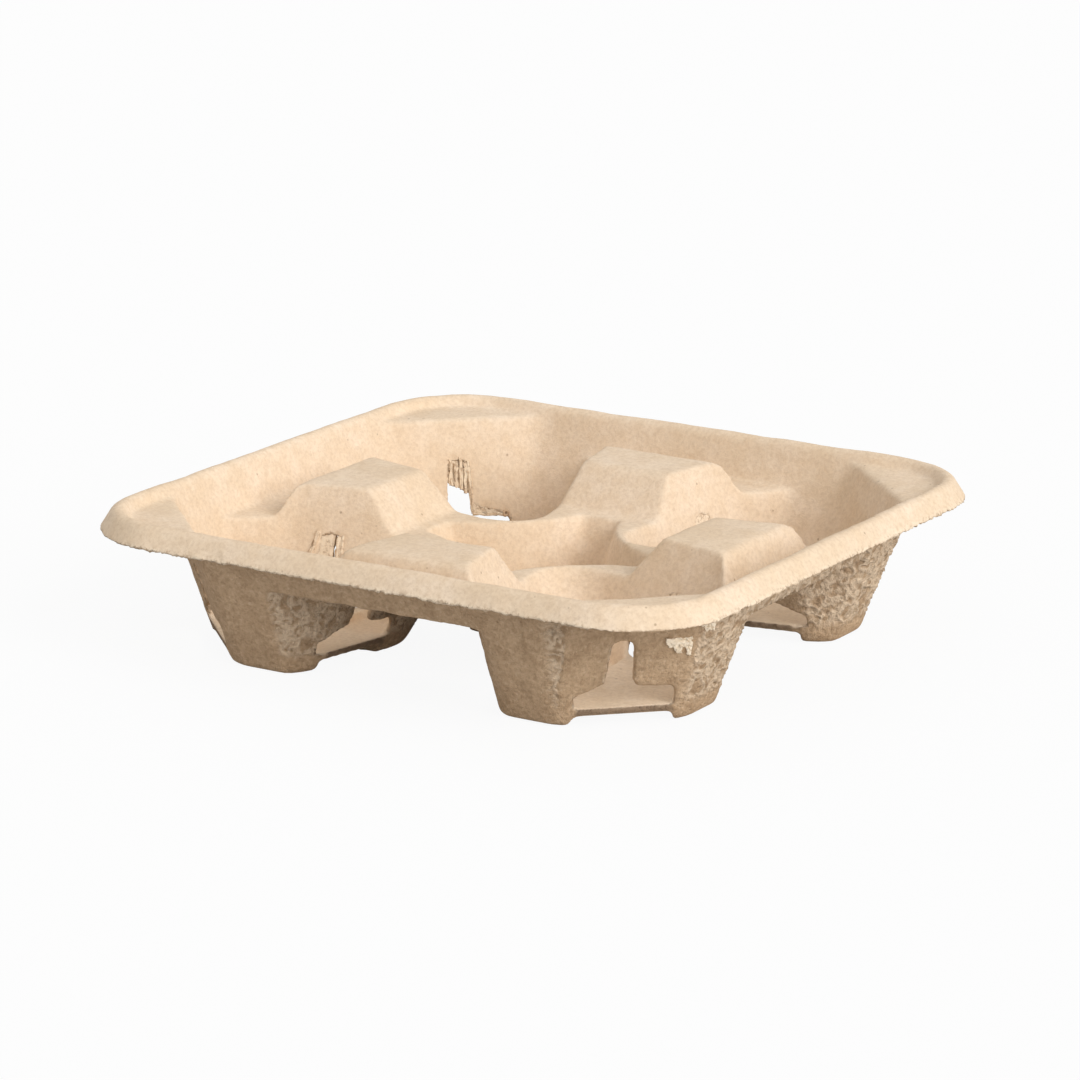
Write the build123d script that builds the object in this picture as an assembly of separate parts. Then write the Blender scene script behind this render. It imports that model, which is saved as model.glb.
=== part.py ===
from build123d import *
import os
from math import atan2, cos, pi, sin, sqrt, tan

# A four-cup carrier moulded in one piece from paper pulp. Its upper surface is one form, its
# underside is the same form moved out by the wall, and the carrier is what lies between them.
# X and Y run along the sides of the tray, Z is up, and the origin is on the table under its middle.

# Overall size
lip_width = 213.0
height = 44.8
wall = 2.4
side_wall = 2.6

# Rim: a rounded crest with a skirt that slopes down and outwards to a thin lip
crest_half = 102.3
skirt_drop = 6.6
lip_corner_radius = 33.0
crest_round = 1.4
under_rim_depth = 2.5

# Legs, given on the outside: at the table, and at the level of the corner ledges
leg_outer_foot = 84.0
leg_outer_top = 99.9
leg_end_foot = 38.0
leg_end_top = 37.0
leg_corner_foot = 57.0
leg_corner_top = 60.0
leg_inner_foot = 22.5
leg_inner_top = 3.0
leg_side_slant = 0.2
leg_end_slant = 0.8
leg_inner_radius = 16.0
leg_side_radius = 14.0
leg_end_radius = 7.0
leg_corner_radius = 14.0
foot_round = 1.1

# Levels of the upper surface
ledge_level = 41.4
hump_level = 41.0
channel_level = 30.8
saddle_level = 28.0
pocket_level = 9.0

# Arches under the legs, and the floor that runs out through them
arch_height = 3.2
arch_centre = 62.0
arch_half_width = 15.0
arch_taper = 5.0
arch_reach = 60.0
middle_hollow = 19.0

# Window over each arch: two flaps with a slot between them
window_low_flap = 9.2
window_high_flap = 13.6
window_square_flap = 11.4
slot_half_foot = 4.2
slot_half_top = 3.0
slot_top = 25.8
corner_slot_top = 27.4
slot_shift = 1.8
flap_rise = 1.0
window_radii = dict(foot=0.8, flap=1.0, square=2.0, slot=2.2, slant=1.2)

# Humps between the wells
hump_inner_top = 52.5
hump_outer_top = 76.5
hump_inner_foot = 42.0
hump_outer_foot = 80.5
hump_round = 4.0

# Middle: a low saddle round a deep star-shaped pocket
saddle_half = 52.0
pocket_half_top = 38.0
pocket_half_foot = 31.0
pocket_corner = 4.0
bulge_centre = 50.0
bulge_radius_top = 45.0
bulge_radius_foot = 50.0

clear = 5.0


def mix(low, high, share):
    return low + (high - low) * share


def rounded_outline(points, radii, level):
    """A flat face at one level, with straight sides and an arc at each corner."""
    edges = []
    ends = []
    count = len(points)
    for n in range(count):
        here, before, after = points[n], points[n - 1], points[(n + 1) % count]
        back = Vector(before[0] - here[0], before[1] - here[1]).normalized()
        ahead = Vector(after[0] - here[0], after[1] - here[1]).normalized()
        half = back.get_angle(ahead) * pi / 360
        reach = radii[n] / tan(half)
        corner = Vector(here[0], here[1])
        middle = corner + (back + ahead).normalized() * (radii[n] / sin(half) - radii[n])
        ends.append((corner + back * reach, middle, corner + ahead * reach))
    for n in range(count):
        edges.append(ThreePointArc(*ends[n]))
        edges.append(Line(ends[n][2], ends[(n + 1) % count][0]))
    return Pos(0, 0, level) * make_face(Wire(edges))


def moved_in(points, distance):
    """The corners of a polygon, listed anticlockwise, with each side moved inwards."""
    moved = []
    count = len(points)
    for n in range(count):
        here, before, after = points[n], points[n - 1], points[(n + 1) % count]
        first = atan2(here[1] - before[1], here[0] - before[0])
        second = atan2(after[1] - here[1], after[0] - here[0])
        turn = second - first
        bisector = (first + second) / 2 + pi / 2
        if abs(turn) > pi:
            bisector += pi
            turn -= 2 * pi * (1 if turn > 0 else -1)
        reach = distance / cos(turn / 2)
        moved.append((here[0] + reach * cos(bisector), here[1] + reach * sin(bisector)))
    return moved


def drafted(low_points, high_points, low, high, radii=()):
    """A solid with flat sloping sides between two polygons, and its upright edges rounded."""
    bottom = [Vector(x, y, low) for x, y in low_points]
    top = [Vector(x, y, high) for x, y in high_points]
    count = len(bottom)
    rings = [bottom, top]
    for n in range(count):
        m = (n + 1) % count
        rings.append([bottom[n], bottom[m], top[m], top[n]])
    solid = Solid(Shell([Face(Wire.make_polygon(ring, close=True)) for ring in rings]))
    for foot, radius in zip(bottom, radii):
        solid = fillet(min(solid.edges(), key=lambda edge: upright_distance(edge, foot)), radius)
    return solid


def upright_distance(edge, foot):
    """How far an edge starts from a point, for the edges that leave its level."""
    ends = (edge.position_at(0), edge.position_at(1))
    if abs(ends[0].Z - ends[1].Z) < wall / 2:
        return 2 * lip_width
    return min((end - foot).length for end in ends)


def leg_points(level, inset):
    """The plan of the leg in the +X +Y corner, at one level, moved in by the wall or not."""
    share = level / ledge_level
    outer = mix(leg_outer_foot, leg_outer_top, share)
    end = mix(leg_end_foot, leg_end_top, share)
    corner = mix(leg_corner_foot, leg_corner_top, share)
    inner = mix(leg_inner_foot, leg_inner_top, share)
    start = inner * (1 - leg_side_slant)
    side_x = (start - end + outer * leg_end_slant) / (leg_end_slant - leg_side_slant)
    side_y = start + side_x * leg_side_slant
    points = [(inner, inner), (side_x, side_y), (outer, end), (outer, corner),
              (corner, outer), (end, outer), (side_y, side_x)]
    return moved_in(points, inset) if inset else points


def square_outline(half, radius, level):
    corners = [(-half, -half), (half, -half), (half, half), (-half, half)]
    return rounded_outline(corners, [radius] * len(corners), level)


def four(solid):
    """The same solid in each of the four corners of the tray."""
    pair = solid + mirror(solid, about=Plane.YZ)
    return pair + mirror(pair, about=Plane.XZ)


def square_block(half_low, half_high, low, high, radius):
    def points(half):
        return [(-half, -half), (half, -half), (half, half), (-half, half)]

    return drafted(points(half_low), points(half_high), low, high, [radius] * 4)


def pan_block(low, high, inset):
    """The floor and the sides of the tray, with their corners cut off inside the wells."""
    cut = arch_centre - arch_half_width

    def points(half):
        return [(-cut, -half), (cut, -half), (half, -cut), (half, cut),
                (cut, half), (-cut, half), (-half, cut), (-half, -cut)]

    return drafted(points(side_half(low, inset)), points(side_half(high, inset)), low, high)


def side_half(level, inset):
    return mix(leg_outer_foot, leg_outer_top, level / ledge_level) - inset


def leg_block(low, high, inset):
    face_radii = [leg_side_radius, leg_end_radius, leg_corner_radius]
    radii = [radius - inset for radius in [leg_inner_radius] + face_radii + face_radii[::-1]]
    return drafted(leg_points(low, inset), leg_points(high, inset), low, high, radii)


def rim_outline(half, level):
    """The plan of the rim, whose corners all have the same centre."""
    return square_outline(half, lip_corner_radius - lip_width / 2 + half, level)


def rim_block(low, high, inset):
    return loft([rim_outline(side_half(low, inset), low),
                 rim_outline(side_half(high, inset), high)], ruled=True)


def hump_block(low, inset):
    """The raised block between two wells. It reaches the middle of both, which trim it."""
    drop = wall if inset else 0.0
    reach = arch_centre
    top = hump_level - drop
    inner_slope = (hump_inner_top - hump_inner_foot) / (hump_level - saddle_level)
    outer_slope = (hump_outer_foot - hump_outer_top) / (hump_level - channel_level)

    def across(level):
        inner = hump_inner_top - (hump_level - level) * inner_slope + inset * sqrt(1 + inner_slope ** 2)
        outer = hump_outer_top + (hump_level - level) * outer_slope - inset * sqrt(1 + outer_slope ** 2)
        return [(inner, -reach), (outer, -reach), (outer, reach), (inner, reach)]

    block = drafted(across(low), across(top), low, top)
    top_edges = block.faces().sort_by(Axis.Z)[-1].edges().filter_by(Axis.Y)
    return fillet(top_edges, hump_round - drop)


def humps(low, inset):
    block = hump_block(low, inset)
    blocks = block
    for quarter in range(1, 4):
        blocks += Rot(0, 0, 90 * quarter) * block
    return blocks


def pocket(low, high, inset):
    """The star-shaped pocket in the middle, whose sides bulge in where the wells are."""
    def share(level):
        return (level - pocket_level) / (saddle_level - pocket_level)

    def half(level):
        return mix(pocket_half_foot, pocket_half_top, share(level)) + inset

    def bulge(level):
        return mix(bulge_radius_foot, bulge_radius_top, share(level)) - inset

    body = square_block(half(low), half(high), low, high, pocket_corner + inset)
    cone_low, cone_high = low - clear, high + clear
    cone = Cone(bulge(cone_low), bulge(cone_high), cone_high - cone_low)
    cone = Pos(bulge_centre, bulge_centre, (cone_low + cone_high) / 2) * cone
    return body - four(cone)


def tunnel(top, widen):
    """The space under one arch, running inwards from the face and tapering a little in plan."""
    wide = arch_half_width + widen
    narrow = wide - arch_taper
    corners = [(0, -narrow), (arch_reach, -wide), (arch_reach, wide), (0, narrow)]
    plan = Pos(0, 0, -clear) * make_face(Polyline(*corners, close=True))
    return extrude(plan, amount=top + clear, dir=(0, 0, 1))


def arch_space(top, widen):
    """What lies over the arches of one leg and under its raised floor, up to one level."""
    bay = tunnel(top, widen)
    tall = top + clear
    space = Pos(0, 0, (top - clear) / 2) * Cylinder(middle_hollow + widen, tall)
    for turn in (-90, 45, 180):
        space += Rot(0, 0, turn) * bay
    return Pos(arch_centre, arch_centre, 0) * space


def window(top, shift):
    """The opening over an arch, cut straight in: its low flap is slanted and its high one square."""
    floor = arch_height + wall
    points = [(-arch_half_width, floor), (arch_half_width, floor),
              (arch_half_width, window_square_flap),
              (slot_half_foot + shift, window_square_flap + flap_rise),
              (slot_half_top + shift, top), (shift - slot_half_top, top),
              (shift - slot_half_foot, window_high_flap), (-arch_half_width, window_low_flap)]
    corners = ("foot", "foot", "flap", "square", "slot", "slot", "slant", "flap")
    radii = [window_radii[corner] for corner in corners]
    return extrude(Plane.YZ * rounded_outline(points, radii, 0), amount=arch_reach, dir=(1, 0, 0))


def windows():
    """All twelve openings: two in each leg that face its neighbours, and one at its outer corner."""
    place = Pos(arch_centre, arch_centre, 0)
    side = window(slot_top, 0)
    sides = place * Rot(0, 0, 180) * side + place * Rot(0, 0, -90) * mirror(side, about=Plane.XZ)
    cuts = four(sides)
    for quarter, shift in enumerate((0, slot_shift, 0, -slot_shift)):
        cuts += Rot(0, 0, 90 * quarter) * place * Rot(0, 0, 45) * window(corner_slot_top, shift)
    return cuts


def underside_form():
    """Everything below and outside the upper surface, as far as the outer face of the wall."""
    leg = leg_block(0, ledge_level, 0)
    leg = chamfer(leg.faces().sort_by(Axis.Z)[0].edges(), foot_round)
    leg -= arch_space(arch_height, 0)
    body = pan_block(channel_level - wall, ledge_level, 0)
    saddle_low = saddle_level - wall
    body += square_block(saddle_half, saddle_half, saddle_low, channel_level, pocket_corner)
    body -= humps(saddle_low - clear, wall)
    body += four(leg)
    body += pocket(pocket_level - wall, saddle_level, side_wall)
    body += rim_block(ledge_level - wall, height, 0)
    return body


def upper_form():
    """The space over the upper surface, which the mould fills when the carrier is made."""
    well = leg_block(wall, ledge_level, side_wall)
    well -= arch_space(arch_height + wall, wall)
    body = pan_block(channel_level, ledge_level, side_wall)
    saddle_inside = saddle_half - wall
    body += square_block(saddle_inside, saddle_inside, saddle_level, channel_level + wall, pocket_corner)
    body -= humps(saddle_level - clear, 0)
    body += four(well)
    body += pocket(pocket_level, saddle_level + wall, 0)
    body += rim_block(ledge_level, height + clear, side_wall)
    return body


def rim():
    """The crest and its skirt, hollow underneath."""
    lip_level = height - skirt_drop
    slope = (lip_width / 2 - crest_half) / skirt_drop
    inset = wall * sqrt(1 + slope ** 2)

    def half(level):
        return crest_half + (height - level) * slope

    shoulder = height - crest_round / 2
    skirt = loft([rim_outline(half(lip_level), lip_level), rim_outline(half(shoulder), shoulder),
                  rim_outline(crest_half - crest_round / 2, height)], ruled=True)
    low = lip_level - clear
    high = height - under_rim_depth
    hollow = loft([rim_outline(half(low) - inset, low), rim_outline(half(high) - inset, high)], ruled=True)
    return skirt - hollow


def crest_ease():
    """What is taken off the inner edge of the crest."""
    low = height - crest_round
    half = side_half(low, side_wall)
    rise = crest_round + clear
    return loft([rim_outline(half, low), rim_outline(half + rise, low + rise)], ruled=True)


def cup_carrier():
    body = rim() + underside_form()
    body -= upper_form()
    body -= crest_ease()
    body -= windows()
    return body


os.makedirs("parts", exist_ok=True)
carrier = cup_carrier()
carrier.label = "cup_carrier"
export_step(carrier, "parts/cup_carrier.step")
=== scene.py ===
from math import cos, radians, sin

import bpy
import numpy as np
from mathutils import Matrix, Vector


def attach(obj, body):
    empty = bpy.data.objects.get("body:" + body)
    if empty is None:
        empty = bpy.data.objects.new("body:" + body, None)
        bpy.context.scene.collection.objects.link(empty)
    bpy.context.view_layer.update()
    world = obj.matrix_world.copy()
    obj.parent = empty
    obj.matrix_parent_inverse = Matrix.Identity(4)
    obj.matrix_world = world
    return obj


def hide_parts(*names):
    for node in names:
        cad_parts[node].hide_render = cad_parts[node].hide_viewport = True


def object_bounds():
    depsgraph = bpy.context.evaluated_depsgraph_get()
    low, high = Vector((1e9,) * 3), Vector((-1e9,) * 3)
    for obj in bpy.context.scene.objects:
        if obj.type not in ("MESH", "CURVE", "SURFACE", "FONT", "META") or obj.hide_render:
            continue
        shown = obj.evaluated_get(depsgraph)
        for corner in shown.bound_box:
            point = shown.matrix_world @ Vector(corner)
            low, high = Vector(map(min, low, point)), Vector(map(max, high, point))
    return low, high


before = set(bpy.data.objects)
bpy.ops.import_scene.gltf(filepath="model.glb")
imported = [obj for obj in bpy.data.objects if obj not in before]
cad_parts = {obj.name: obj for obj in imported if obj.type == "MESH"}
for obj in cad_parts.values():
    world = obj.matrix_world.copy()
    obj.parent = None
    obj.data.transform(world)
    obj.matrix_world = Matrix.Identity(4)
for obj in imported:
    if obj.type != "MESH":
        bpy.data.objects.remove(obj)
cad_low, cad_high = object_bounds()

# A four-cup carrier of moulded pulp, crumpled and torn. Sizes are in millimetres, and MM turns
# them into the frame's metres. X and Y run along the sides of the tray and Z is up.
MM = 0.001
DIAGONAL = 2 ** 0.5

# The carrier in the frame, and the walls of its legs, whose faces lean as they go up to the ledges
HALF_WIDTH = round(cad_high[0] / MM, 1)
LEG_CENTRE = 62.0
LEDGE_LEVEL = 41.4
HALF_WALL = 1.3
CORNER_FACE_FOOT = 99.7
CORNER_FACE_LEAN = 13.36
INNER_FOOT = 22.5
INNER_LEAN = 19.5
SIDE_SLANT = 0.2

# The signs of X and Y at each leg
FRONT, RIGHT, BACK, LEFT = (1, -1), (1, 1), (-1, 1), (-1, -1)

# The tray's faces, and the steps in which a vertex group's weights are set
VOXEL = 0.8
KEPT_FACES = 0.3
WEIGHT_STEPS = 20

# Where the moulded edges are soft, as levels and as distances from the middle
SOFT_LEVELS = (7, 12)
SOFT_REACH = (95, 99)
CREST_REACH = (97, 99)
CREST_LEVELS = (41.5, 43)

# Round the windows the edges stay sharp
SHARP_CORNERS = dict(half=13 * DIAGONAL, start=84 * DIAGONAL)
SHARP_CORNER_TOP = 31
SHARP_SIDES = dict(half=17, start=-1, end=40)
SHARP_SIDE_TOP = 30
SHARP_WEIGHT = 0.1

# Where the underside, the crumpled legs and the ragged lip begin and end
UNDER_TILT = (-0.05, 0.12)
UNDER_LEVELS = (41, 44)
FOOT_LEVELS = (3, 8)
LEG_LEVELS = (32, 38)
FRONT_CORNER_HALF = 28
CRUMPLE_TURN = dict(corner=0.62, elsewhere=0.15, blend=0.3)
LEAST_CRUMPLE = 0.12
LIP_REACH = (HALF_WIDTH - 2.7, HALF_WIDTH - 0.7)
LIP_LEVELS = (38.6, 40.0)

# The cut edges of the corner slots, and the upright edges of the floors over the arches, darkened with
# painted shade
SLOT_CORNERS = dict(half=19, start=143)
SLOT_LEVELS = (6.5, 28.5)
SLOT_TURN = (0.4, 0.72)
PLATE_CORNERS = dict(half=20, start=130)
PLATE_SIDES = dict(half=14, start=16, end=31)
PLATE_FOOT = (2.4, 3.0)
PLATE_TOP = (5.4, 6.2)
PLATE_TILT = (0.5, 0.8)

# Torn pulp, as (place along the wall, level) from the foot of a window to its top
CLOSED_SLOT = [(-4.6, 11.5), (4.6, 11.5), (3.6, 26.6), (-3.6, 26.6)]
WIDE_TAB = [(-1.2, 11.5), (5.0, 11.5), (4.0, 26.4), (-0.9, 26.4)]
NARROW_TAB = [(-4.9, 11.5), (-2.2, 11.5), (-2.0, 26.0), (-4.2, 26.4)]
BACK_FLAP = [(5.8, 21.2), (-2.4, 17.2), (-2.0, 28.0), (5.4, 28.0)]
BACK_LOW_FLAP = [(-2.0, 14.4), (-10.5, 11.4), (-10.0, 10.4), (-2.4, 11.0)]
BACK_FIBRES = [(4.4, 20.4, 28.6), (2.6, 19.6, 27.4), (1.0, 19.0, 29.0), (-0.4, 17.6, 27.6)]
SKIN = -1.2
CLOSED_THICK = 1.9
FLAKE_THICK = 0.6
FLAKE_PROUD = 0.35
TORN_BEVEL = 0.15
TORN_ANGLE = radians(40)

# Scraps that hang under the rim of the front leg, as places near its outer faces
SCRAPS = {
    "peeled_scrap": [(84.2, -69.6, 27.6), (84.8, -68.8, 24.6), (88.2, -64.0, 25.2), (89.2, -63.4, 27.9)],
    "peeled_tail": [(85.6, -67.6, 25.4), (86.2, -66.8, 22.9), (86.9, -65.6, 22.6), (87.2, -65.4, 25.6)],
    "peeled_drop": [(87.9, -64.6, 26.0), (88.4, -63.8, 22.2), (88.7, -63.4, 22.0), (89.1, -63.2, 26.4)],
    "rim_tatter": [(92.0, -62.4, 31.2), (92.8, -60.6, 29.6), (93.6, -59.0, 30.0), (93.4, -59.6, 32.0)],
}

# The camera that sees the tray as the photograph does
CAMERA_AZIMUTH, CAMERA_ELEVATION, CAMERA_ROLL = radians(30.81), radians(15.06), radians(0.76)
CAMERA_DISTANCE = 1.378
CAMERA_AIM = Vector((-0.9, 1.5, 28.4))
SENSOR_WIDTH, LENS = 36, 148.1
CLIP_START, CLIP_END = 0.01, 100

# Studio light and floor
SUN_STRENGTH, SUN_SPREAD = 2.15, radians(38)
SUN_DIRECTION = Vector((-0.86, 0.22, -0.48))
SKY_STRENGTH = 0.68
FLOOR_SIZE, FLOOR_LEVEL = 6, -0.2
FLOOR_GLOW = 0.93


# Operators

def deselect():
    bpy.ops.object.select_all(action="DESELECT")


def select(piece):
    deselect()
    piece.select_set(True)
    bpy.context.view_layer.objects.active = piece


def finish_with(piece, kind, **settings):
    """Adds a modifier with these settings and applies it."""
    select(piece)
    modifier = piece.modifiers.new(kind.title(), kind)
    for name, value in settings.items():
        setattr(modifier, name, value)
    bpy.ops.object.modifier_apply(modifier=modifier.name)


def roughen(piece, name, kind, size, strength, middle=0.5, group="", direction="NORMAL", **settings):
    """Moves a piece's surface in and out by a texture with marks of this size."""
    texture = bpy.data.textures.new(name, kind)
    texture.noise_scale = size * MM
    for key, value in settings.items():
        setattr(texture, key, value)
    finish_with(piece, "DISPLACE", texture=texture, strength=strength * MM, mid_level=middle,
                vertex_group=group, direction=direction)


# What is known of each vertex

def read(piece, name):
    values = np.empty(len(piece.data.vertices) * 3, np.float32)
    piece.data.vertices.foreach_get(name, values)
    return values.reshape(-1, 3)


def weigh(piece, name, weights):
    """A vertex group with these weights, for a modifier."""
    group = piece.vertex_groups.new(name=name)
    steps = np.round(np.clip(weights, 0, 1) * WEIGHT_STEPS).astype(int)
    for step in range(1, WEIGHT_STEPS + 1):
        chosen = np.nonzero(steps == step)[0].tolist()
        if chosen:
            group.add(chosen, step / WEIGHT_STEPS, "REPLACE")


def store(piece, name, values):
    """An attribute with one value for each vertex, or the same for all, for the material."""
    attribute = piece.data.attributes.new(name, "FLOAT", "POINT")
    values = np.broadcast_to(values, len(piece.data.vertices))
    attribute.data.foreach_set("value", np.array(values, np.float32))


def rise(value, start, full):
    """0 up to start, 1 from full on, and a smooth rise between them."""
    share = np.clip((value - start) / (full - start), 0, 1)
    return share * share * (3 - 2 * share)


def fall(value, full, end):
    """1 up to full, 0 from end on, and a smooth fall between them."""
    return rise(-value, -end, -full)


class Spots:
    """Where a piece's vertices lie and look, in millimetres, with the tray's quarters folded into one."""

    def __init__(self, piece):
        self.at = read(piece, "co") / MM
        self.facing = read(piece, "normal")
        self.across, self.along, self.up = np.abs(self.at[:, 0]), np.abs(self.at[:, 1]), self.at[:, 2]
        self.reach = np.maximum(self.across, self.along)

    def at_corners(self, half, start):
        """By the tray's diagonals, where X and Y differ by less than half and add up to start."""
        return (np.abs(self.across - self.along) < half) & (self.across + self.along > start)

    def at_sides(self, half, start, end):
        """By the arches that look at a neighbouring leg, this far from the tray's middle lines."""
        along_x = (np.abs(self.across - LEG_CENTRE) < half) & (self.along > start) & (self.along < end)
        along_y = (np.abs(self.along - LEG_CENTRE) < half) & (self.across > start) & (self.across < end)
        return along_x | along_y


# The tray

def moulded_tray():
    """The CAD tray with the soft edges and the wrinkles of moulded pulp."""
    tray = fine_tray()
    soften(tray)
    mark_faces(tray)
    crumple(tray)
    tray.vertex_groups.clear()
    select(tray)
    bpy.ops.object.shade_smooth()
    return tray


def fine_tray():
    """A copy of the CAD tray in small even faces."""
    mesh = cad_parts["cup_carrier"].data.copy()
    tray = bpy.data.objects.new("tray", mesh)
    bpy.context.scene.collection.objects.link(tray)
    mesh.materials.clear()
    select(tray)
    bpy.ops.object.mode_set(mode="EDIT")
    bpy.ops.mesh.select_all(action="SELECT")
    bpy.ops.mesh.remove_doubles(threshold=0.01 * MM)
    bpy.ops.object.mode_set(mode="OBJECT")
    finish_with(tray, "REMESH", mode="VOXEL", voxel_size=VOXEL * MM, adaptivity=0)
    return tray


def soften(tray):
    """Rounds the edges of the body and of the crest, and the rest a little."""
    spots = Spots(tray)
    body = rise(spots.up, *SOFT_LEVELS) * fall(spots.reach, *SOFT_REACH)
    body[spots.at_corners(**SHARP_CORNERS) & (spots.up < SHARP_CORNER_TOP)] = SHARP_WEIGHT
    body[spots.at_sides(**SHARP_SIDES) & (spots.up < SHARP_SIDE_TOP)] = SHARP_WEIGHT
    weigh(tray, "soft", body)
    weigh(tray, "crest", rise(spots.reach, *CREST_REACH) * rise(spots.up, *CREST_LEVELS))
    finish_with(tray, "SMOOTH", factor=0.5, iterations=12, vertex_group="soft")
    finish_with(tray, "SMOOTH", factor=0.5, iterations=10, vertex_group="crest")
    finish_with(tray, "SMOOTH", factor=0.5, iterations=4)


def mark_faces(tray):
    """Marks the tray's kinds of surface, for the wrinkles and for the material."""
    spots = Spots(tray)
    turned_x, turned_y, tilt = spots.facing.T
    above_feet = rise(spots.up, *FOOT_LEVELS)
    under = rise(-tilt, *UNDER_TILT) * fall(spots.up, *UNDER_LEVELS)
    outside = under * above_feet
    front_corner = (spots.at[:, 0] > 0) & (spots.at[:, 1] < 0) & spots.at_corners(FRONT_CORNER_HALF, 0)
    starts = np.where(front_corner, CRUMPLE_TURN["corner"], CRUMPLE_TURN["elsewhere"])
    turned = rise(turned_x - starts, 0, CRUMPLE_TURN["blend"])
    legs = outside * fall(spots.up, *LEG_LEVELS) * (LEAST_CRUMPLE + (1 - LEAST_CRUMPLE) * turned)
    lip = rise(spots.reach, *LIP_REACH) * fall(spots.up, *LIP_LEVELS)
    weigh(tray, "wrinkled", legs)
    weigh(tray, "rough", outside)
    weigh(tray, "upper", (1 - under) * above_feet)
    weigh(tray, "lip", lip)
    store(tray, "under", under)
    store(tray, "lip edge", lip)
    store(tray, "crumpled", legs)

    low, high = SLOT_LEVELS
    at_slots = spots.at_corners(**SLOT_CORNERS) & (spots.up > low) & (spots.up < high)
    outward = (np.abs(turned_x) + np.abs(turned_y)) / DIAGONAL
    store(tray, "cut edge", np.where(at_slots, fall(outward, *SLOT_TURN), 0))
    # The upright edges of the floors over the arches, which get painted shade
    at_plates = spots.at_corners(**PLATE_CORNERS) | spots.at_sides(**PLATE_SIDES)
    upright = rise(spots.up, *PLATE_FOOT) * fall(spots.up, *PLATE_TOP) * fall(np.abs(tilt), *PLATE_TILT)
    store(tray, "plate edge shade", np.where(at_plates, upright, 0))


def crumple(tray):
    """Bark on the legs, lumps and waves all over and a ragged lip."""
    roughen(tray, "bark", "VORONOI", 2.8, 0.6, 0.4, "wrinkled", weight_1=-1.0, weight_2=1.0)
    roughen(tray, "creases", "DISTORTED_NOISE", 2.0, 0.6, group="wrinkled", distortion=1.6)
    roughen(tray, "lumps", "CLOUDS", 6.0, 0.8, group="rough", noise_depth=3)
    roughen(tray, "waves", "CLOUDS", 16.0, 0.8, group="upper", noise_depth=2)
    roughen(tray, "ragged", "CLOUDS", 2.0, 1.5, group="lip", direction="Z", noise_depth=4)
    roughen(tray, "frayed", "CLOUDS", 1.3, 1.2, group="lip", noise_depth=3)
    finish_with(tray, "DECIMATE", ratio=KEPT_FACES)


# Torn pulp

def wall_place(leg, way, lateral, level, proud=0.0):
    """A place in the middle of the wall of a leg, over one of its arches.

    way is "corner", "x" or "y" for the arch that looks outwards or along that axis, lateral runs
    along the wall, and proud is how far the place is moved out of the wall.
    """
    share = level / LEDGE_LEVEL
    if way == "corner":
        face = CORNER_FACE_FOOT + CORNER_FACE_LEAN * share
        outward = (face - HALF_WALL) / DIAGONAL + proud / DIAGONAL
        x, y = outward + lateral / DIAGONAL, outward - lateral / DIAGONAL
    else:
        beside = LEG_CENTRE + lateral
        face = (1 - SIDE_SLANT) * (INNER_FOOT - INNER_LEAN * share) + SIDE_SLANT * beside
        inward = face + HALF_WALL - proud
        x, y = (inward, beside) if way == "x" else (beside, inward)
    return Vector((x * leg[0], y * leg[1], level))


def in_wall(leg, way, spots, proud=0.0):
    return [wall_place(leg, way, lateral, level, proud) for lateral, level in spots]


def torn_sheet(name, places, thick, seed, cuts=6, rough=0.1):
    """A small sheet of pulp between four places, with ragged edges."""
    deselect()
    bpy.ops.mesh.primitive_plane_add(size=1 * MM, location=(0, 0, 0))
    sheet = bpy.context.object
    sheet.name = name
    bpy.ops.object.mode_set(mode="EDIT")
    bpy.ops.mesh.select_mode(type="VERT")
    for n, place in zip((0, 1, 3, 2), places):
        bpy.ops.mesh.select_all(action="DESELECT")
        bpy.ops.object.mode_set(mode="OBJECT")
        corner = sheet.data.vertices[n]
        corner.select = True
        move = place * MM - corner.co
        bpy.ops.object.mode_set(mode="EDIT")
        bpy.ops.transform.translate(value=move)
    bpy.ops.mesh.select_all(action="SELECT")
    bpy.ops.mesh.subdivide(number_cuts=cuts)
    bpy.ops.transform.vertex_random(offset=rough * MM, uniform=0.8, seed=seed)
    bpy.ops.mesh.quads_convert_to_tris()
    bpy.ops.object.mode_set(mode="OBJECT")
    finish_with(sheet, "SOLIDIFY", thickness=thick * MM, offset=0)
    finish_with(sheet, "BEVEL", width=TORN_BEVEL * MM, segments=1, limit_method="ANGLE")
    roughen(sheet, name + " crumple", "CLOUDS", 2.0, 0.5, noise_depth=2)
    select(sheet)
    bpy.ops.object.shade_smooth_by_angle(angle=TORN_ANGLE)
    store(sheet, "lip edge", 0.8)
    return sheet


def strand(name, leg, way, foot, head, seed, width=0.9, proud=-1.3):
    """A torn strip of pulp that stands along a wall, from one (lateral, level) to another."""
    (foot_x, foot_z), (head_x, head_z) = foot, head
    half = width / 2
    length = ((head_x - foot_x) ** 2 + (head_z - foot_z) ** 2) ** 0.5
    side_x, side_z = -(head_z - foot_z) / length * half, (head_x - foot_x) / length * half
    spots = [(foot_x - side_x, foot_z - side_z), (foot_x + side_x, foot_z + side_z),
             (head_x + side_x, head_z + side_z), (head_x - side_x, head_z - side_z)]
    return torn_sheet(name, in_wall(leg, way, spots, proud), 0.9, seed, cuts=4, rough=0.18)


def curl(name, middle, radius, thick):
    """A torn fibre that has curled up at its end."""
    deselect()
    bpy.ops.mesh.primitive_torus_add(location=middle * MM, rotation=(radians(80), 0, radians(50)),
                                     major_radius=radius * MM, minor_radius=thick * MM,
                                     major_segments=20, minor_segments=8)
    ring = bpy.context.object
    ring.name = name
    bpy.ops.object.transform_apply(location=True, rotation=True, scale=True)
    roughen(ring, name + " lumps", "CLOUDS", 1.2, 0.8, 0.4, noise_depth=2)
    bpy.ops.object.shade_smooth()
    store(ring, "cut edge", 0.7)
    return ring


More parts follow.
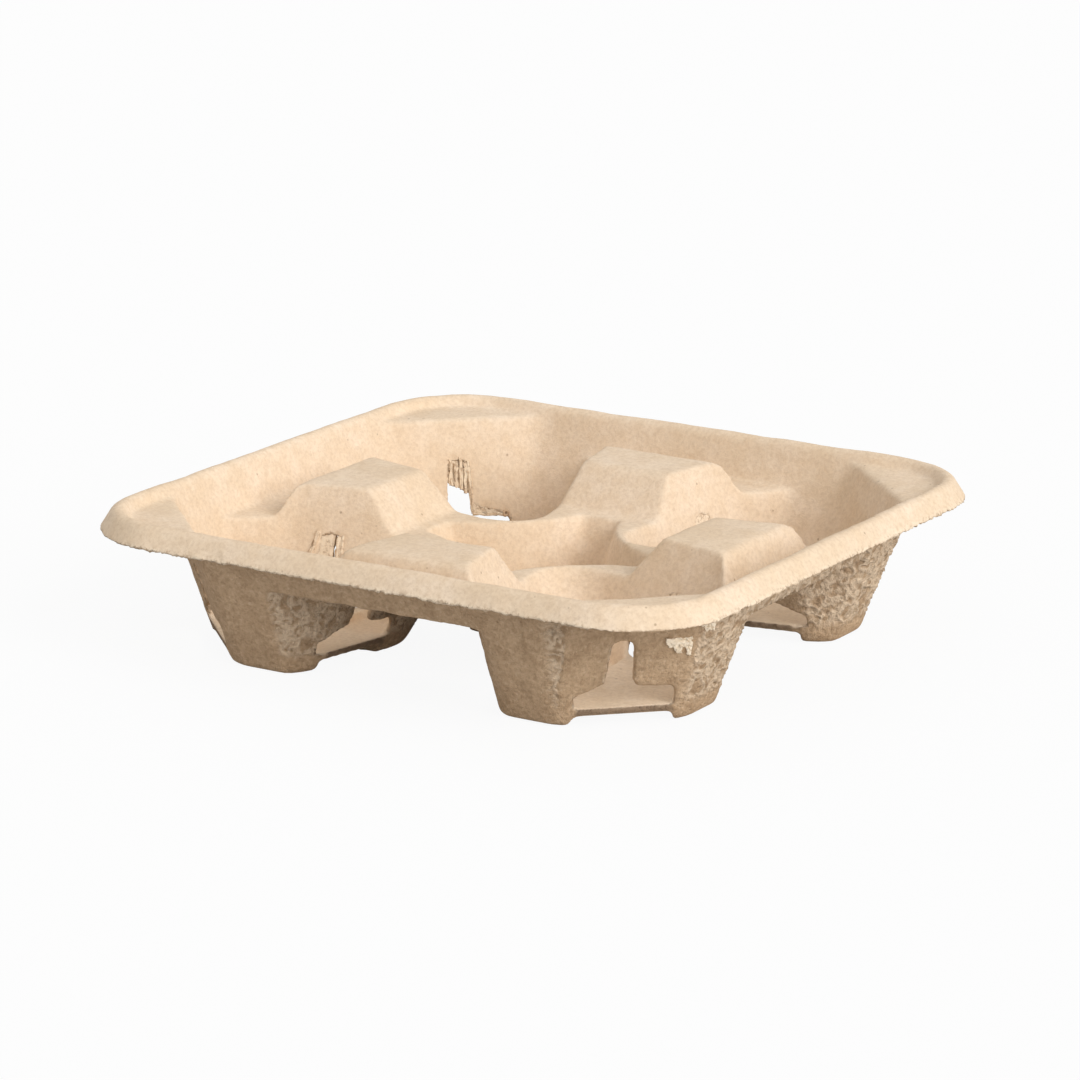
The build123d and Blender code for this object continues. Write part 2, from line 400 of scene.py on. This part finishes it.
def slot_flaps():
    """The flaps that still fill two of the slots, and the bent tabs in the left well's."""
    return [
        torn_sheet("slot_flap_right", in_wall(RIGHT, "x", CLOSED_SLOT), CLOSED_THICK, 1),
        torn_sheet("slot_flap_front", in_wall(FRONT, "y", CLOSED_SLOT), CLOSED_THICK, 2),
        torn_sheet("slot_flap_left_wide", in_wall(LEFT, "y", WIDE_TAB), 1.6, 3, rough=0.2),
        torn_sheet("slot_flap_left_narrow", in_wall(LEFT, "y", NARROW_TAB, -1.0), 1.2, 4, rough=0.2),
        strand("slot_strand_left", LEFT, "y", (6.4, 17.0), (4.2, 27.0), 5, width=1.0, proud=-1.5),
    ]


def back_window():
    """What the back well's window still holds: flaps, their frayed edges, a curl and four fibres."""
    pieces = [
        torn_sheet("slot_flap_back", in_wall(BACK, "corner", BACK_FLAP), 1.2, 6, rough=0.4),
        torn_sheet("low_flap_back", in_wall(BACK, "corner", BACK_LOW_FLAP), 1.8, 7),
        strand("slot_edge_back", BACK, "corner", (-2.6, 12.0), (-1.6, 28.0), 8, 0.8, SKIN),
        strand("flap_edge_back", BACK, "corner", (-2.4, 11.2), (-12.5, 10.6), 9, 0.8, SKIN),
        curl("flap_curl_back", wall_place(BACK, "corner", -13.6, 11.0, -1.3), radius=0.8, thick=0.45),
    ]
    for n, (lateral, foot, head) in enumerate(BACK_FIBRES):
        pieces.append(strand("slot_fibre_back_%d" % (n + 1), BACK, "corner", (lateral, foot),
                             (lateral - 0.2, head), 10 + n, width=0.75, proud=-1.1))
    return pieces


def peeled_scraps(tray):
    """Scraps of fresh pulp that lie on the front leg, each a little off the tray's surface."""
    pieces = []
    for n, (name, spots) in enumerate(SCRAPS.items()):
        places = []
        for spot in spots:
            found, near, facing, face = tray.closest_point_on_mesh(Vector(spot) * MM)
            places.append(near / MM + facing * FLAKE_PROUD)
        flake = torn_sheet(name, places, FLAKE_THICK, 20 + n, cuts=7, rough=0.45)
        store(flake, "fresh", 1.0)
        pieces.append(flake)
    return pieces


# Shader nodes

def sum_of(operation, mirrored=False):
    """A Python operator that adds a Math node."""
    def add_node(wire, other):
        first, second = (other, wire) if mirrored else (wire, other)
        return wire.finish.add("ShaderNodeMath", dict(operation=operation), {0: first, 1: second})

    return add_node


class Wire:
    """A node's output that takes part in sums."""

    __add__, __radd__ = sum_of("ADD"), sum_of("ADD", mirrored=True)
    __sub__, __rsub__ = sum_of("SUBTRACT"), sum_of("SUBTRACT", mirrored=True)
    __mul__, __rmul__ = sum_of("MULTIPLY"), sum_of("MULTIPLY", mirrored=True)
    __gt__ = sum_of("GREATER_THAN")

    def __init__(self, finish, socket):
        self.finish, self.socket = finish, socket


class Finish:
    """The shader nodes of a material or of the world, and the one way that they are added."""

    def __init__(self, owner):
        owner.use_nodes = True
        self.nodes, self.links = owner.node_tree.nodes, owner.node_tree.links
        self.nodes.clear()

    def add(self, kind, settings=None, inputs=None, output=0):
        node = self.nodes.new(kind)
        for name, value in (settings or {}).items():
            setattr(node, name, value)
        for name, value in (inputs or {}).items():
            if isinstance(value, Wire):
                self.links.new(value.socket, node.inputs[name])
            else:
                node.inputs[name].default_value = value
        return Wire(self, node.outputs[output]) if len(node.outputs) else node

    def stored(self, name):
        """An attribute of the piece."""
        return self.add("ShaderNodeAttribute", dict(attribute_name=name), output="Fac")

    def in_picture(self):
        """One where the camera looks, also by way of a mirror or through glass."""
        camera, mirror, glass = (self.add("ShaderNodeLightPath", output=ray) for ray in (
            "Is Camera Ray", "Is Glossy Ray", "Is Transmission Ray"))
        return camera + mirror + glass > 0.5

    def mix(self, share, first, second):
        """A mix of two colours, whose sockets share their names with others and go by number."""
        return self.add("ShaderNodeMix", dict(data_type="RGBA"), {0: share, 6: first, 7: second}, 2)

    def band(self, value, low, high):
        """0 below low, 1 above high and a smooth rise between them."""
        return self.add("ShaderNodeMapRange", dict(interpolation_type="SMOOTHSTEP"),
                        {"Value": value, "From Min": low, "From Max": high})


def tone(red, green, blue):
    return (red, green, blue, 1)


WHITE = tone(1, 1, 1)
FLOOR_GREY = tone(0.72, 0.72, 0.72)
TAN = tone(0.80, 0.636, 0.463)
PALE_TAN = tone(0.86, 0.70, 0.535)
WARM_TAN = tone(0.73, 0.55, 0.37)
BROWN = tone(0.51, 0.348, 0.213)
LIGHT_BROWN = tone(0.63, 0.445, 0.282)
GRAIN_BROWN = tone(0.36, 0.22, 0.12)
PALE_FIBRE = tone(0.92, 0.78, 0.6)
FLECK_BROWN = tone(0.20, 0.11, 0.055)
LIP_PALE = tone(0.93, 0.80, 0.62)
LIP_BROWN = tone(0.36, 0.23, 0.13)
FRESH_PULP = tone(0.95, 0.83, 0.66)
# Pale for painted highlights on the ridges of the crumpled legs, and brown for painted shade in their
# creases and for the underside's grain
RIDGE_HIGHLIGHT = tone(0.93, 0.75, 0.555)
CREASE_SHADE_AND_GRAIN_BROWN = tone(0.27, 0.17, 0.10)
DRY_BROWN = tone(0.74, 0.56, 0.39)
CUT_BROWN = tone(0.42, 0.25, 0.12)
PLATE_SHADE_BROWN = tone(0.24, 0.165, 0.11)
FLECK_SPACING = 4.0
FLECK_CHANCE = 0.86
RIDGE_SIZE = 3.6


def pulp():
    """Dried pulp: mottled tan with fine fibres and flecks, smooth above and coarse below, browner below
    partly as the pulp's own tone and partly as painted shade on the down-facing outside.
    """
    material = bpy.data.materials.new("pulp")
    finish = Finish(material)
    mix, band = finish.mix, finish.band
    place = finish.add("ShaderNodeTexCoord", output="Object")
    under, lip, fresh = finish.stored("under"), finish.stored("lip edge"), finish.stored("fresh")
    crumpled, cut, plate_shade = finish.stored("crumpled"), finish.stored("cut edge"), finish.stored("plate edge shade")

    def speckle(size, detail, rough=0.6, warp=0.0):
        return finish.add("ShaderNodeTexNoise", inputs={
            "Vector": place, "Scale": 1 / (size * MM), "Detail": detail, "Roughness": rough,
            "Distortion": warp})

    def cells(output):
        return finish.add("ShaderNodeTexVoronoi", dict(feature="F1"), {
            "Vector": place, "Scale": 1 / (FLECK_SPACING * MM), "Randomness": 1.0}, output)

    cloud = speckle(38, 2)
    mottle = speckle(5.5, 4)
    grain = speckle(1.3, 4, 0.7)
    fibre = speckle(0.55, 3, 0.75, 1.5)
    bark = speckle(4.2, 5, 0.62, 1.1)
    chosen = finish.add("ShaderNodeSeparateColor", inputs={"Color": cells("Color")}) > FLECK_CHANCE
    fleck = (1 - band(cells("Distance"), 0.06, 0.14)) * chosen
    ridges = finish.add("ShaderNodeTexNoise", dict(noise_type="RIDGED_MULTIFRACTAL", normalize=False), {
        "Vector": place, "Scale": 1 / (RIDGE_SIZE * MM), "Detail": 3.0, "Roughness": 0.5,
        "Lacunarity": 2.0, "Offset": 0.9, "Gain": 1.6, "Distortion": 0.5})
    crease = 1 - band(ridges, 0.2, 1.1)
    most_crumpled = crumpled * crumpled

    above = mix(band(cloud, 0.35, 0.65), TAN, PALE_TAN)
    above = mix(band(mottle, 0.3, 0.7) * 0.45, above, WARM_TAN)
    # The browner tone of the down-facing outside is partly painted shade
    below_partly_shade = mix(band(mottle, 0.3, 0.7), BROWN, LIGHT_BROWN)
    colour = mix(under, above, below_partly_shade)
    colour = mix(band(grain, 0.35, 0.7) * 0.22, colour, GRAIN_BROWN)
    colour = mix(band(fibre, 0.55, 0.8) * 0.22, colour, PALE_FIBRE)
    colour = mix(fleck * 0.45, colour, FLECK_BROWN)
    colour = mix(lip * band(mottle, 0.35, 0.6) * 0.55, colour, LIP_PALE)
    colour = mix(lip * band(grain, 0.5, 0.62) * 0.6, colour, LIP_BROWN)
    colour = mix(fresh * 0.8, colour, FRESH_PULP)
    # Painted highlight on the ridges and painted shade in the creases of the crumpled legs, which are most
    # crumpled where they face the key light
    colour = mix(most_crumpled * (1 - crease) * 0.6, colour, RIDGE_HIGHLIGHT)
    colour = mix(most_crumpled * crease * 0.25, colour, CREASE_SHADE_AND_GRAIN_BROWN)
    colour = mix(under * band(grain, 0.46, 0.66) * 0.3, colour, CREASE_SHADE_AND_GRAIN_BROWN)
    colour = mix(under * (1 - band(grain, 0.3, 0.45)) * 0.5, colour, DRY_BROWN)
    colour = mix(cut * 0.55, colour, CUT_BROWN)
    # Painted shade on the upright edges of the floors over the arches
    colour = mix(plate_shade * 0.85, colour, PLATE_SHADE_BROWN)

    height = grain * 0.3 + fibre * 0.12 + mottle * 0.2 + under * (bark * 0.7 + grain * 1.6)
    height = height + crumpled * ridges * 0.9
    bump = finish.add("ShaderNodeBump", inputs={"Strength": 0.8, "Distance": 0.9 * MM, "Height": height})
    shader = finish.add("ShaderNodeBsdfPrincipled", inputs={
        "Base Color": colour, "Roughness": 0.93, "Specular IOR Level": 0.12, "Normal": bump})
    finish.add("ShaderNodeOutputMaterial", inputs={"Surface": shader})
    return material


def studio_white():
    """A pale floor that the camera sees as white, with the tray's shadow kept on it."""
    material = bpy.data.materials.new("floor")
    finish = Finish(material)
    matt = finish.add("ShaderNodeBsdfDiffuse", inputs={"Color": FLOOR_GREY})
    glow = finish.add("ShaderNodeEmission", inputs={"Color": WHITE, "Strength": 1.0})
    pale = finish.add("ShaderNodeMixShader", inputs={0: FLOOR_GLOW, 1: matt, 2: glow})
    surface = finish.add("ShaderNodeMixShader", inputs={0: finish.in_picture(), 1: matt, 2: pale})
    finish.add("ShaderNodeOutputMaterial", inputs={"Surface": surface})
    return material


# The scene

def make_camera():
    back = Vector((sin(CAMERA_AZIMUTH) * cos(CAMERA_ELEVATION),
                   -cos(CAMERA_AZIMUTH) * cos(CAMERA_ELEVATION), sin(CAMERA_ELEVATION)))
    camera = bpy.data.objects.new("camera", bpy.data.cameras.new("camera"))
    bpy.context.scene.collection.objects.link(camera)
    camera.data.sensor_width, camera.data.lens = SENSOR_WIDTH, LENS
    camera.data.clip_start, camera.data.clip_end = CLIP_START, CLIP_END
    camera.location = CAMERA_AIM * MM + back * CAMERA_DISTANCE
    turn = (-back).to_track_quat("-Z", "Y").to_matrix() @ Matrix.Rotation(CAMERA_ROLL, 3, "Z")
    camera.rotation_euler = turn.to_euler()
    bpy.context.scene.camera = camera


def make_sun():
    sun = bpy.data.lights.new("key", "SUN")
    sun.energy, sun.angle = SUN_STRENGTH, SUN_SPREAD
    key = bpy.data.objects.new("key", sun)
    bpy.context.scene.collection.objects.link(key)
    key.rotation_euler = SUN_DIRECTION.to_track_quat("-Z", "Y").to_euler()


def make_world():
    """An even light from all round, which the camera sees as white."""
    world = bpy.data.worlds.new("studio")
    finish = Finish(world)
    light = finish.add("ShaderNodeBackground", inputs={"Color": WHITE, "Strength": SKY_STRENGTH})
    white = finish.add("ShaderNodeBackground", inputs={"Color": WHITE, "Strength": 1.0})
    surface = finish.add("ShaderNodeMixShader", inputs={0: finish.in_picture(), 1: light, 2: white})
    finish.add("ShaderNodeOutputWorld", inputs={"Surface": surface})
    bpy.context.scene.world = world


def make_floor():
    deselect()
    bpy.ops.mesh.primitive_plane_add(size=FLOOR_SIZE, location=(0, 0, FLOOR_LEVEL * MM))
    floor = bpy.context.object
    floor.name = "floor"
    floor.data.materials.append(studio_white())


tray = moulded_tray()
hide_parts("cup_carrier")
dried_pulp = pulp()
for piece in [tray] + slot_flaps() + back_window() + peeled_scraps(tray):
    piece.data.materials.append(dried_pulp)
    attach(piece, "root")

make_camera()
make_sun()
make_world()
make_floor()
bpy.context.scene.view_settings.view_transform = "Standard"
